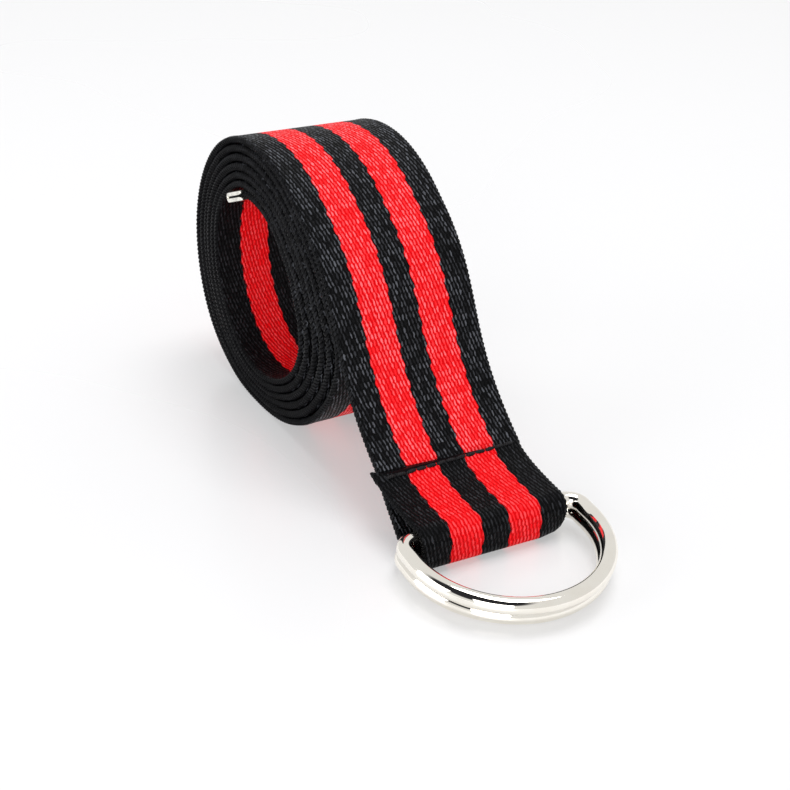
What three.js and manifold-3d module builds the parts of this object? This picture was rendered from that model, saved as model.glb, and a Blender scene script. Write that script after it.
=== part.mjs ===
// A webbing belt with two D-rings, rolled into a coil that stands on its rim.
// X runs from the coil towards the rings, Y across the webbing, and Z up from the floor.
// Lengths are in millimetres and angles in degrees.

import * as THREE from 'three';
import { mergeVertices } from 'three/addons/utils/BufferGeometryUtils.js';
import Module from 'manifold-3d';

const wasm = await Module();
wasm.setup();

// Webbing
const webbingWidth = 38;
const webbingThickness = 1.3;

// Coil: its outer size, where the strap leaves it, and how far it is wound
const coilRadius = 35.25;
const coilLeaveAngle = 45;
const coilTurns = 6.175;
const coilStepsPerTurn = 36;

// Shape of the coil, seen along Y, counted up from the side of the rings.
// reach: radius of the outermost turn, in coil radii.
// spacing: from one turn to the next, in webbing thicknesses.
const coilSections = [
  { angle: 0, reach: 1.3, spacing: 3.0 },
  { angle: 15, reach: 1.173, spacing: 2.62 },
  { angle: 30, reach: 1.1, spacing: 2.31 },
  { angle: 45, reach: 1.036, spacing: 2.02 },
  { angle: 60, reach: 1.031, spacing: 1.92 },
  { angle: 90, reach: 1.068, spacing: 1.81 },
  { angle: 120, reach: 1.115, spacing: 1.72 },
  { angle: 150, reach: 1.134, spacing: 1.66 },
  { angle: 180, reach: 1.145, spacing: 1.85 },
  { angle: 210, reach: 1.122, spacing: 1.85 },
  { angle: 240, reach: 1.03, spacing: 1.46 },
  { angle: 270, reach: 0.967, spacing: 1.26 },
  { angle: 300, reach: 1.029, spacing: 1.62 },
  { angle: 330, reach: 1.164, spacing: 2.19 },
  { angle: 345, reach: 1.252, spacing: 2.62 },
];

// Seam, where the end of the strap is sewn back on it
const seamReach = 63.3;
const seamHeight = 12.2;
const seamSlope = 36;
const seamLength = 1.5;
const seamInset = 1;
const seamGap = 0.1;

// Fold round the ring bars: radii of its middle line and its room before the bars
const foldFootRadius = 2.6;
const foldTopRadius = 3.4;
const foldRoom = 0.8;

// The loop runs askew: yaw, side shift and narrowing of the fold, and side shift of the tab's end
const foldYaw = 3.2;
const foldSideShift = -1.6;
const foldNarrowing = 1;
const tabSideShift = -1.05;

// Lie of the strap between coil, seam and fold: where each bend eases, and its steps
const runEaseFrom = 0.4;
const runEaseTo = 0.53;
const layerEaseFrom = 0.36;
const layerEaseTo = 0.26;
const tabEase = 0.24;
const runSteps = 18;
const layerSteps = 10;
const tabSteps = 12;
const foldSteps = 6;

// D-rings: round wire bent to a straight bar, two corners and a half circle
const ringWire = 3.8;
const ringInnerWidth = 41.2;
const ringCornerRadius = 3.5;
const ringSideLength = 3.2;
const ringWireSides = 14;
const ringCornerSteps = 6;
const ringArcSteps = 34;

// Lie of the rings: from the seam to the lower bar, and the upper ring's shift from the lower
const ringReach = 16.2;
const lowerRingSide = -0.3;
const upperRingAhead = 1.8;
const upperRingAside = -0.8;

// Gaps between pieces that lie on each other
const barGap = 0.25;
const ringGap = 0.15;

// Metal tip, a folded plate that clips over the inner end of the strap
const tipLength = 10;
const tipPlate = 0.6;
const tipMouthRadius = 0.25;
const tipClearance = 0.1;
const tipSideMargin = 0.2;

const halfThickness = webbingThickness / 2;
const halfWire = ringWire / 2;
const ringHalfWidth = ringInnerWidth / 2 + halfWire;
const ringDepth = ringCornerRadius + ringSideLength + ringHalfWidth;

const webbingMaterial = new THREE.MeshStandardMaterial({ color: 0x17171a, roughness: 0.85, metalness: 0 });
const nickelMaterial = new THREE.MeshStandardMaterial({ color: 0xe9e6dc, roughness: 0.12, metalness: 1 });
const steelMaterial = new THREE.MeshStandardMaterial({ color: 0xdcdad6, roughness: 0.22, metalness: 1 });

const radians = THREE.MathUtils.degToRad;

// Direction in the XZ plane, at an angle up from +X
function heading(angle) {
  return new THREE.Vector3(Math.cos(radians(angle)), 0, Math.sin(radians(angle)));
}

// Value of one column of the coil's table at any angle, smooth all the way round
function coilShape(angle, column) {
  const count = coilSections.length;
  const turned = THREE.MathUtils.euclideanModulo(angle, 360);
  const after = coilSections.findIndex((row) => row.angle > turned);
  const next = after < 0 ? count : after;
  const row = (index) => {
    const laps = Math.floor(index / count);
    const found = coilSections[index - laps * count];
    return { angle: found.angle + 360 * laps, value: found[column] };
  };
  const [a, b, c, d] = [next - 2, next - 1, next, next + 1].map(row);
  const span = c.angle - b.angle;
  const slopeB = (c.value - a.value) / (c.angle - a.angle);
  const slopeC = (d.value - b.value) / (d.angle - b.angle);
  const t = (turned - b.angle) / span;
  const hermite = [
    (1 + 2 * t) * (1 - t) ** 2 * b.value,
    t * (1 - t) ** 2 * span * slopeB,
    t ** 2 * (3 - 2 * t) * c.value,
    t ** 2 * (t - 1) * span * slopeC,
  ];
  return hermite.reduce((sum, part) => sum + part, 0);
}

// Middle line of the coil, round its own centre, a number of turns in from where it leaves
function coilPoint(turns) {
  const angle = coilLeaveAngle + 360 * turns;
  const outside = coilShape(angle, 'reach') * coilRadius;
  const inwards = coilShape(angle, 'spacing') * webbingThickness * turns;
  return heading(angle).multiplyScalar(outside - inwards - halfThickness);
}

// Coil from its inner end to where the strap leaves it, resting on the floor
function coilLine() {
  const steps = Math.round(coilTurns * coilStepsPerTurn);
  const points = [];
  for (let step = steps; step >= 0; step -= 1) {
    points.push(coilPoint((coilTurns * step) / steps));
  }
  const lowest = Math.min(...points.map((point) => point.z));
  const rise = new THREE.Vector3(0, 0, halfThickness - lowest);
  return points.map((point) => point.add(rise));
}

// Point of the strap's middle line; turned says how far it shares the fold's yaw and
// narrowing, and aside is its shift to the side
function station(point, turned = 0, aside = 0) {
  return { point, turned, aside };
}

// Points along a curve, without its first one
function pointsAfterStart(curve, steps) {
  return curve.getSpacedPoints(steps).slice(1);
}

// Curve that leaves one point along a heading and reaches another along a second one.
// Each ease is a share of the way between them, over which the heading is held.
function blend(from, leaving, to, arriving, easeFrom, easeTo) {
  const reach = from.distanceTo(to);
  const first = from.clone().addScaledVector(leaving, reach * easeFrom);
  const second = to.clone().addScaledVector(arriving, -reach * easeTo);
  return new THREE.CubicBezierCurve3(from, first, second, to);
}

// Quarter turn round a centre, counted up from +X, without its first point
function quarter(centre, radius, startAngle, steps) {
  return Array.from({ length: steps }, (unused, index) => {
    const angle = startAngle + (90 * (index + 1)) / steps;
    return heading(angle).multiplyScalar(radius).add(centre);
  });
}

// Bars of the two rings, where the loop holds them
const lowerBar = new THREE.Vector3(
  seamReach + ringReach,
  lowerRingSide,
  webbingThickness + barGap + halfWire,
);
const ringTilt = Math.asin((lowerBar.z - halfWire) / ringDepth);
const upperBar = lowerBar.clone().add(
  new THREE.Vector3(upperRingAhead, upperRingAside, ringWire + ringGap),
);

const coil = coilLine();
const coilEnd = coil[coil.length - 1];
const coilExit = coilEnd.clone().sub(coil[coil.length - 2]).normalize();
const coilInnerEnd = coil[0];
const tipSweep = tipLength / (2 * Math.PI * coilPoint(coilTurns).length());
const tipHeading = coilPoint(coilTurns + tipSweep).sub(coilPoint(coilTurns)).normalize();

const seamPoint = new THREE.Vector3(seamReach, 0, seamHeight);
const seamHeading = heading(-seamSlope);
const seamNormal = heading(90 - seamSlope);
const seamLayers = webbingThickness + seamGap;

// Strap from the coil down to the seam
function runStations() {
  const curve = blend(coilEnd, coilExit, seamPoint, seamHeading, runEaseFrom, runEaseTo);
  return pointsAfterStart(curve, runSteps).map((point) => station(point));
}

// Strap from the seam down to the floor and on under the bars
function lowerLayerStations() {
  const foot = new THREE.Vector3(lowerBar.x, 0, halfThickness);
  const curve = blend(seamPoint, seamHeading, foot, heading(0), layerEaseFrom, layerEaseTo);
  const points = pointsAfterStart(curve, layerSteps);
  return points.map((point, index) => {
    const done = (index + 1) / points.length;
    return station(point, done, foldSideShift * done);
  });
}

// Fold in front of the bars, from the floor to over the upper bar
function foldStations() {
  const front = upperBar.x + halfWire + foldRoom + halfThickness;
  const top = upperBar.z + halfWire + barGap + halfThickness;
  const foot = new THREE.Vector3(front - foldFootRadius, 0, halfThickness + foldFootRadius);
  const head = new THREE.Vector3(front - foldTopRadius, 0, top - foldTopRadius);
  const points = [
    foot.clone().addScaledVector(heading(-90), foldFootRadius),
    ...quarter(foot, foldFootRadius, -90, foldSteps),
    head.clone().addScaledVector(heading(0), foldTopRadius),
    ...quarter(head, foldTopRadius, 0, foldSteps),
  ];
  return points.map((point) => station(point, 1, foldSideShift));
}

// Tab from the fold back to the seam, where it lies on the strap
function tabStations(start) {
  const end = seamPoint.clone().addScaledVector(seamNormal, seamLayers);
  const curve = blend(start, heading(180), end, heading(180 - seamSlope), tabEase, tabEase);
  const points = pointsAfterStart(curve, tabSteps);
  return points.map((point, index) => {
    const done = (index + 1) / points.length;
    return station(point, 1 - done, THREE.MathUtils.lerp(foldSideShift, tabSideShift, done));
  });
}

// Whole strap, from the end in the metal tip to the end of the tab
function strapStations() {
  const inserted = tipLength - tipPlate - tipClearance;
  const strapEnd = coilInnerEnd.clone().addScaledVector(tipHeading, inserted);
  const fold = foldStations();
  return [
    station(strapEnd),
    ...coil.map((point) => station(point)),
    ...runStations(),
    ...lowerLayerStations(),
    ...fold,
    ...tabStations(fold[fold.length - 1].point),
  ];
}

// Four corners of the webbing at each of its stations
function webbingSections(stations) {
  return stations.map(({ point, turned, aside }, index) => {
    const before = stations[Math.max(index - 1, 0)].point;
    const after = stations[Math.min(index + 1, stations.length - 1)].point;
    const along = after.clone().sub(before).normalize();
    const normal = new THREE.Vector3(-along.z, 0, along.x).multiplyScalar(halfThickness);
    const yaw = radians(foldYaw * turned);
    const halfWidth = (webbingWidth - foldNarrowing * turned) / 2;
    const side = new THREE.Vector3(Math.sin(yaw), Math.cos(yaw), 0).multiplyScalar(halfWidth);
    const middle = point.clone().add(new THREE.Vector3(0, aside, 0));
    return [
      middle.clone().add(normal).add(side),
      middle.clone().add(normal).sub(side),
      middle.clone().sub(normal).sub(side),
      middle.clone().sub(normal).add(side),
    ];
  });
}

// Closed skin through equal sections: joined end to start, or with flat ends
function loft(sections, closed) {
  const sides = sections[0].length;
  const positions = sections.flat().flatMap((point) => point.toArray());
  const faces = [];
  const links = closed ? sections.length : sections.length - 1;
  for (let link = 0; link < links; link += 1) {
    const here = link * sides;
    const there = ((link + 1) % sections.length) * sides;
    for (let side = 0; side < sides; side += 1) {
      const next = (side + 1) % sides;
      faces.push(here + side, here + next, there + next);
      faces.push(here + side, there + next, there + side);
    }
  }
  if (!closed) {
    const last = (sections.length - 1) * sides;
    for (let side = 1; side < sides - 1; side += 1) {
      faces.push(0, side + 1, side);
      faces.push(last, last + side, last + side + 1);
    }
  }
  const geometry = new THREE.BufferGeometry();
  geometry.setAttribute('position', new THREE.Float32BufferAttribute(positions, 3));
  geometry.setIndex(faces);
  return geometry;
}

function toManifold(geometry) {
  const bare = geometry.clone();
  bare.deleteAttribute('normal');
  bare.deleteAttribute('uv');
  const merged = mergeVertices(bare);
  return new wasm.Manifold(new wasm.Mesh({
    numProp: 3,
    vertProperties: new Float32Array(merged.attributes.position.array),
    triVerts: new Uint32Array(merged.index.array),
  }));
}

function fromManifold(solid) {
  const mesh = solid.getMesh();
  const geometry = new THREE.BufferGeometry();
  geometry.setAttribute('position', new THREE.Float32BufferAttribute(mesh.vertProperties, 3));
  geometry.setIndex(Array.from(mesh.triVerts));
  return geometry;
}

// Sewn joint that fills the gap between the tab's end and the strap under it
function sewnJoint() {
  const joint = new THREE.BoxGeometry(seamLength, webbingWidth - 2 * seamInset, webbingThickness);
  joint.rotateY(radians(seamSlope));
  const place = seamPoint.clone()
    .addScaledVector(seamNormal, seamLayers / 2)
    .addScaledVector(seamHeading, seamLength / 2);
  joint.translate(place.x, tabSideShift / 2, place.z);
  return joint;
}

function strapGeometry() {
  const webbing = toManifold(loft(webbingSections(strapStations()), false));
  return fromManifold(webbing.add(toManifold(sewnJoint())));
}

// Points on an arc in the XY plane, without its first one
function arcPoints(x, y, radius, startAngle, endAngle, steps) {
  return Array.from({ length: steps }, (unused, index) => {
    const angle = radians(startAngle + ((endAngle - startAngle) * (index + 1)) / steps);
    return new THREE.Vector3(x + radius * Math.cos(angle), y + radius * Math.sin(angle), 0);
  });
}

// Middle line of a D-ring once round: bar, corner, half circle with its two sides, corner
function ringPoints() {
  const straight = ringHalfWidth - ringCornerRadius;
  const sideEnd = ringCornerRadius + ringSideLength;
  return [
    new THREE.Vector3(0, 0, 0),
    new THREE.Vector3(0, straight, 0),
    ...arcPoints(ringCornerRadius, straight, ringCornerRadius, 180, 90, ringCornerSteps),
    new THREE.Vector3(sideEnd, ringHalfWidth, 0),
    ...arcPoints(sideEnd, 0, ringHalfWidth, 90, -90, ringArcSteps),
    new THREE.Vector3(ringCornerRadius, -ringHalfWidth, 0),
    ...arcPoints(ringCornerRadius, -straight, ringCornerRadius, -90, -180, ringCornerSteps),
  ];
}

// D-ring lying flat, its bar along Y through the origin
function ringGeometry() {
  const points = ringPoints();
  const sections = points.map((point, index) => {
    const before = points[(index + points.length - 1) % points.length];
    const after = points[(index + 1) % points.length];
    const along = after.clone().sub(before).normalize();
    const across = new THREE.Vector3(-along.y, along.x, 0);
    return Array.from({ length: ringWireSides }, (unused, side) => {
      const angle = (2 * Math.PI * (side + 0.5)) / ringWireSides;
      return new THREE.Vector3(point.x, point.y, halfWire * Math.sin(angle))
        .addScaledVector(across, halfWire * Math.cos(angle));
    });
  });
  return loft(sections, true);
}

// Folded plate seen along Y: a flat bend at its closed end and an open mouth
function tipGeometry() {
  const inner = halfThickness + tipClearance;
  const outer = inner + tipPlate;
  const profile = new THREE.Shape();
  profile.moveTo(0, inner);
  profile.lineTo(0, outer - tipMouthRadius);
  profile.quadraticCurveTo(0, outer, tipMouthRadius, outer);
  profile.lineTo(tipLength - outer, outer);
  profile.absarc(tipLength - outer, 0, outer, Math.PI / 2, -Math.PI / 2, true);
  profile.lineTo(tipMouthRadius, -outer);
  profile.quadraticCurveTo(0, -outer, 0, -outer + tipMouthRadius);
  profile.lineTo(0, -inner);
  profile.lineTo(tipLength - tipPlate, -inner);
  profile.lineTo(tipLength - tipPlate, inner);
  profile.closePath();
  const width = webbingWidth + 2 * tipSideMargin;
  const plate = new THREE.ExtrudeGeometry(profile, { depth: width, bevelEnabled: false, curveSegments: 6 });
  plate.translate(0, 0, -width / 2);
  plate.rotateX(Math.PI / 2);
  return plate;
}

function piece(name, geometry, material) {
  const mesh = new THREE.Mesh(geometry, material);
  mesh.name = name;
  return mesh;
}

function ringPiece(name, bar) {
  const ring = piece(name, ringGeometry(), nickelMaterial);
  ring.position.copy(bar);
  ring.rotation.set(0, ringTilt, -radians(foldYaw), 'ZYX');
  return ring;
}

function tipPiece() {
  const tip = piece('strap_tip', tipGeometry(), steelMaterial);
  tip.position.copy(coilInnerEnd);
  tip.rotation.y = -Math.atan2(tipHeading.z, tipHeading.x);
  return tip;
}

const belt = new THREE.Group();
belt.add(piece('webbing_strap', strapGeometry(), webbingMaterial));
belt.add(ringPiece('lower_ring', lowerBar));
belt.add(ringPiece('upper_ring', upperBar));
belt.add(tipPiece());

// The origin goes to the middle of the belt's base
const extent = new THREE.Box3().setFromObject(belt, true);
const middle = extent.getCenter(new THREE.Vector3());
belt.position.set(-middle.x, -middle.y, -extent.min.z);

export default belt;
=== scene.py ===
import logging
import math
from dataclasses import dataclass, field
from enum import Enum
from typing import Sequence, Union

import bpy
import numpy as np
from mathutils import Matrix, Vector

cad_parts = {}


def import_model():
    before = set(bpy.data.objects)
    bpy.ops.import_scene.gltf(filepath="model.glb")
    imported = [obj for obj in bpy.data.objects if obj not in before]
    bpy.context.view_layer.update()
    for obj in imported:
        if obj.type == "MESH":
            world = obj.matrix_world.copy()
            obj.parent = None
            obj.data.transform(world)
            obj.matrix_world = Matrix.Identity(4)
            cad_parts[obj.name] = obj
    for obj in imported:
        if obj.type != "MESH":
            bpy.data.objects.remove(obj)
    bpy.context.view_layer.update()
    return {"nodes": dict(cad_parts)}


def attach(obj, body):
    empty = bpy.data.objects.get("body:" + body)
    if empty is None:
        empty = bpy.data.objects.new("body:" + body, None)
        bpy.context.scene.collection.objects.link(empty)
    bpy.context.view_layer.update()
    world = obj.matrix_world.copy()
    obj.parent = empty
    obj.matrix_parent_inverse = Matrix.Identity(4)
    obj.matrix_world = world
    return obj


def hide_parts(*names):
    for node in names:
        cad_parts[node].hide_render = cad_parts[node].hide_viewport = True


LOG = logging.getLogger("double_ring_belt")
MM = 0.001
ASIDE_SALT = 5.0
SHIFT_SALT = 7.0
# painted highlight: range of luck over which the painted glints show
GLINT_LUCK = (-0.2, 1.0)
LOOP_LEAN = 1.9
LOOP_OFFSET = 1.7
LOOP_DRIFT = 0.8
DRIFT_LENGTH = 5.3
BEAD_OFFSET = 1.3
STITCH_BEAT = 2.3
SHARP_ANGLE = 38
WHITE = (1.0, 1.0, 1.0, 1.0)

Socket = bpy.types.NodeSocket
Value = Union[float, Socket]


class Finish(Enum):
    """The record's material slots."""

    WEBBING = "webbing"
    RING = "ring_nickel"
    TIP = "tip_steel"


def heading(angle: float) -> np.ndarray:
    """Direction in the XZ plane, at an angle in degrees up from +X."""
    return np.array([math.cos(math.radians(angle)), math.sin(math.radians(angle))])


def srgb(red: int, green: int, blue: int) -> tuple[float, float, float, float]:
    """Turns a colour of 0 to 255 steps into linear light.

    Args:
        red: red step.
        green: green step.
        blue: blue step.

    Returns:
        Linear red, green and blue, with full alpha.
    """
    def linear(step: int) -> float:
        """Linear light of one step."""
        share = step / 255
        return share / 12.92 if share <= 0.04045 else ((share + 0.055) / 1.055) ** 2.4

    return (linear(red), linear(green), linear(blue), 1.0)


class Graph:
    """A node tree written as sums, so that a weave reads like a formula."""

    def __init__(self, owner: Union[bpy.types.Material, bpy.types.World]) -> None:
        """Empties the owner's tree and adds its shader.

        Args:
            owner: the material or the world to fill.
        """
        owner.use_nodes = True
        self.tree = owner.node_tree
        self.tree.nodes.clear()
        world = isinstance(owner, bpy.types.World)
        kinds = ("World", "Background") if world else ("Material", "BsdfPrincipled")
        output = self.tree.nodes.new(f"ShaderNodeOutput{kinds[0]}")
        self.shader = self.tree.nodes.new(f"ShaderNode{kinds[1]}")
        self.tree.links.new(self.shader.outputs[0], output.inputs["Surface"])

    def put(self, socket: Socket, value: Value) -> None:
        """Sets a socket to a number, or links it.

        Args:
            socket: the input socket.
            value: a number, or the output to link to it.
        """
        if isinstance(value, bpy.types.NodeSocket):
            self.tree.links.new(value, socket)
        else:
            socket.default_value = value

    def math(self, operation: str, *values: Value, clamp: bool = False) -> Socket:
        """Adds a Math node.

        Args:
            operation: its operation, such as MULTIPLY.
            values: its one to three inputs.
            clamp: whether the result is kept from 0 to 1.

        Returns:
            The node's output.
        """
        node = self.tree.nodes.new("ShaderNodeMath")
        node.operation = operation
        node.use_clamp = clamp
        for socket, value in zip(node.inputs, values):
            self.put(socket, value)
        return node.outputs[0]

    def add(self, a: Value, b: Value) -> Socket:
        """Sum of two values."""
        return self.math("ADD", a, b)

    def sub(self, a: Value, b: Value) -> Socket:
        """Difference of two values."""
        return self.math("SUBTRACT", a, b)

    def mul(self, a: Value, b: Value) -> Socket:
        """Product of two values."""
        return self.math("MULTIPLY", a, b)

    def hump(self, share: Value, sharp: float) -> Socket:
        """A hump over a share from 0 to 1: 1 half way along, and 0 at both ends.

        Args:
            share: where along the hump.
            sharp: its power: low is pointed, and high is flat-topped.

        Returns:
            The hump's height.
        """
        off = self.math("ABSOLUTE", self.sub(self.mul(share, 2.0), 1.0))
        return self.sub(1.0, self.math("POWER", off, sharp))

    def step(self, value: Value, low: float, high: float) -> Socket:
        """Smooth step of a value between two limits.

        Args:
            value: the value.
            low: where the step starts.
            high: where the step ends.

        Returns:
            A number from 0 to 1.
        """
        node = self.tree.nodes.new("ShaderNodeMapRange")
        node.interpolation_type = "SMOOTHSTEP"
        self.put(node.inputs["Value"], value)
        node.inputs["From Min"].default_value = low
        node.inputs["From Max"].default_value = high
        return node.outputs["Result"]

    def uv(self, name: str) -> tuple[Socket, Socket]:
        """Both coordinates of a UV map.

        Args:
            name: the map's name.

        Returns:
            The coordinate along, and the one across.
        """
        node = self.tree.nodes.new("ShaderNodeUVMap")
        node.uv_map = name
        parts = self.tree.nodes.new("ShaderNodeSeparateXYZ")
        self.tree.links.new(node.outputs["UV"], parts.inputs[0])
        return parts.outputs[0], parts.outputs[1]

    def vector(self, x: Value, y: Value, z: Value = 0.0) -> Socket:
        """A vector of three values.

        Args:
            x: its first value.
            y: its second value.
            z: its third value.

        Returns:
            The vector.
        """
        node = self.tree.nodes.new("ShaderNodeCombineXYZ")
        for socket, value in zip(node.inputs, (x, y, z)):
            self.put(socket, value)
        return node.outputs[0]

    def dice(self, x: Value, y: Value, salt: float = 0.0) -> Socket:
        """A random number from 0 to 1 for each whole pair of numbers.

        Args:
            x: the first number.
            y: the second number.
            salt: makes one set of numbers differ from another.

        Returns:
            The random number.
        """
        node = self.tree.nodes.new("ShaderNodeTexWhiteNoise")
        node.noise_dimensions = "3D"
        self.tree.links.new(self.vector(x, y, salt), node.inputs["Vector"])
        return node.outputs["Value"]

    def noise(self, where: Socket, scale: float, detail: float = 2.0) -> Socket:
        """Smooth noise, from about 0 to 1.

        Args:
            where: the place that it is read at.
            scale: how fine it is.
            detail: how many finer layers it has.

        Returns:
            The noise.
        """
        node = self.tree.nodes.new("ShaderNodeTexNoise")
        self.tree.links.new(where, node.inputs["Vector"])
        node.inputs["Scale"].default_value = scale
        node.inputs["Detail"].default_value = detail
        return node.outputs["Fac"]

    def place(self) -> Socket:
        """The point's place on its own object."""
        return self.tree.nodes.new("ShaderNodeTexCoord").outputs["Object"]

    def towards(self, direction: Sequence[float]) -> Socket:
        """How far a ray of the world points in a direction: 1 is straight at it.

        Args:
            direction: the direction, of length 1.

        Returns:
            The cosine of the angle between them.
        """
        node = self.tree.nodes.new("ShaderNodeVectorMath")
        node.operation = "DOT_PRODUCT"
        self.tree.links.new(self.tree.nodes.new("ShaderNodeTexCoord").outputs["Generated"],
                            node.inputs[0])
        node.inputs[1].default_value = direction
        return node.outputs["Value"]

    def mix(self, share: Value, a: Union[Socket, tuple], b: Union[Socket, tuple]) -> Socket:
        """Blends two colours.

        Args:
            share: how much of the second colour.
            a: the first colour.
            b: the second colour.

        Returns:
            The blend.
        """
        node = self.tree.nodes.new("ShaderNodeMix")
        node.data_type = "RGBA"
        self.put(node.inputs[0], share)
        self.put(node.inputs[6], a)
        self.put(node.inputs[7], b)
        return node.outputs[2]

    def bump(self, height: Value, distance: float, strength: float = 1.0) -> None:
        """Dents the shader's surface.

        Args:
            height: the height, from 0 to 1.
            distance: how high 1 is, in metres.
            strength: how much of it shows.
        """
        node = self.tree.nodes.new("ShaderNodeBump")
        node.inputs["Strength"].default_value = strength
        node.inputs["Distance"].default_value = distance
        self.put(node.inputs["Height"], height)
        self.tree.links.new(node.outputs["Normal"], self.shader.inputs["Normal"])

    def set(self, name: str, value: Union[Value, tuple]) -> None:
        """Sets or links one of the shader's inputs."""
        self.put(self.shader.inputs[name], value)


@dataclass(frozen=True)
class StripedTwill:
    """Black webbing with two red stripes, woven with short leaning ridges.

    Lengths are in millimetres. The strap's UV map gives millimetres along it and around it,
    from the middle of its near edge over the outer face and back under the inner one.
    """

    width: float
    around: float
    edge: float
    ridge_pitch: float = 1.515
    columns: int = 81
    rows_per_column: float = 3.0
    row_wander: float = 0.3
    slow_scale: tuple[float, float] = (0.12, 0.25)
    unevenness: float = 0.75
    quick_scale: tuple[float, float] = (0.9, 1.1)
    aside_scale: tuple[float, float] = (1.0, 0.8)
    slant: float = 0.7
    column_jitter: float = 0.25
    ridge_sharpness: float = 1.35
    end_sharpness: float = 3.0
    end_depth: float = 0.45
    stripe_starts: tuple[float, float] = (7.25, 22.4)
    stripe_ends: tuple[float, float] = (15.3, 30.7)
    stripe_blur: float = 0.12
    stripe_pull: float = 0.35
    edge_wave: float = 0.2
    jog_scale: tuple[float, float] = (0.8, 0.12)
    jog_reach: float = 0.5
    rope_pitch: float = 1.2
    rope_twist: float = 0.55
    rope_sharpness: float = 2.4
    rope_width: float = 0.7
    rope_fade: float = 0.4
    # painted highlight: how much the painted glints are dimmed on the strap's edges
    rope_glint_dimming: float = 0.75
    ridge_height: float = 0.2
    fibre_scale: tuple[float, float] = (2.0, 12.0)
    fibre_share: float = 0.15
    crown_limits: tuple[float, float] = (0.1, 0.85)
    crown_focus: float = 3.5
    spark_focus: float = 1.6
    spark_luck: float = 1.3
    gap_roughness: float = 0.6
    crown_polish: float = 0.24
    gloss: float = 0.06
    face_blur: float = 0.5
    # painted shade: the gap colours are darker than the ridge colours, painting the shade that falls in
    # the gaps between ridges
    black_shaded_gap: tuple = srgb(1, 1, 2)
    black_ridge: tuple = srgb(7, 7, 9)
    # painted highlight: the inner face keeps only this share of the painted glints, painting less light
    # on it
    inner_painted_glint_share: float = 0.42
    # painted highlight: the glint colours paint the shine of the ridge crowns into the base colour
    black_painted_glint: tuple = srgb(88, 90, 96)
    # painted shade in the gaps between the red ridges
    red_shaded_gap: tuple = srgb(208, 0, 8)
    red_ridge: tuple = srgb(255, 10, 20)
    # painted highlight on the red ridge crowns
    red_painted_glint: tuple = srgb(255, 112, 118)

    def material(self) -> bpy.types.Material:
        """Makes the webbing's material.

        Returns:
            The material.
        """
        material = bpy.data.materials.new("striped_twill")
        g = Graph(material)
        along, around = g.uv("weave")
        half = self.around / 2
        folded = g.sub(half, g.math("ABSOLUTE", g.sub(around, half)))
        across = g.sub(folded, self.edge)
        slow = self.spread(g, along, around, self.slow_scale)
        quick = self.spread(g, along, around, self.quick_scale)
        run = g.add(g.math("DIVIDE", along, self.ridge_pitch),
                    g.add(g.mul(slow, self.row_wander), g.mul(quick, self.unevenness)))
        row = g.math("FLOOR", run)
        in_row = g.sub(run, row)
        aside = self.spread(g, around, along, self.aside_scale, depth=ASIDE_SALT)
        place = g.add(g.mul(g.sub(aside, 0.5), self.unevenness),
                      g.sub(g.mul(around, self.columns / self.around),
                            g.math("DIVIDE", run, self.rows_per_column)))
        column = g.math("FLOOR", place)
        in_column = g.sub(place, column)
        luck = g.dice(column, row)
        shift = g.mul(g.sub(g.dice(column, SHIFT_SALT), 0.5), self.column_jitter)
        lean = g.mul(g.sub(in_column, 0.5), self.slant)
        slant = g.math("FRACT", g.add(g.add(in_row, shift), lean))
        ends = g.mul(g.sub(1.0, g.hump(slant, self.end_sharpness)), self.end_depth)
        ridge = g.math("MAXIMUM", g.sub(g.hump(in_column, self.ridge_sharpness), ends), 0.0)
        rope = self.rope(g, along, around)
        fade = self.rope_width * self.rope_fade
        near_edge = g.step(across, self.rope_width, fade)
        far_edge = g.step(across, self.width - self.rope_width, self.width - fade)
        edge = g.math("MAXIMUM", near_edge, far_edge)
        height = g.add(g.mul(ridge, g.sub(1.0, edge)), g.mul(rope, edge))
        crown = g.step(height, *self.crown_limits)
        # painted highlight: the painted glints are weaker on the inner face
        inner = g.step(around, half - self.face_blur, half + self.face_blur)
        inner = g.mul(inner, 1.0 - self.inner_painted_glint_share)
        # painted highlight: mask of the glints painted on the ridge crowns
        painted_glint_base = g.math("POWER", crown, self.crown_focus)
        # painted highlight: the painted glints are dimmed on the edges
        painted_glint_base = g.mul(painted_glint_base, g.sub(1.0, g.mul(edge, self.rope_glint_dimming)))
        painted_glint_base = g.mul(painted_glint_base, g.sub(1.0, inner))
        # painted highlight: the painted glints and the brighter painted sparks on the crowns
        painted_glint = g.mul(painted_glint_base, g.step(luck, *GLINT_LUCK))
        painted_spark = g.mul(g.math("POWER", painted_glint_base, self.spark_focus), g.math("POWER", luck, self.spark_luck))
        red = self.stripes(g, along, across, place, column)
        # painted shade in the gaps between ridges and painted highlights on the crowns, both mixed into
        # the base colour
        black = g.mix(painted_spark, g.mix(crown, self.black_shaded_gap, self.black_ridge), self.black_painted_glint)
        bright = g.mix(painted_glint, g.mix(crown, self.red_shaded_gap, self.red_ridge), self.red_painted_glint)
        g.set("Base Color", g.mix(red, black, bright))
        g.set("Roughness", g.sub(self.gap_roughness, g.mul(crown, self.crown_polish)))
        g.shader.inputs["Specular IOR Level"].default_value = self.gloss
        fibres = self.spread(g, along, around, self.fibre_scale, detail=3.0)
        g.bump(g.add(height, g.mul(fibres, self.fibre_share)), self.ridge_height * MM)
        return material

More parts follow.
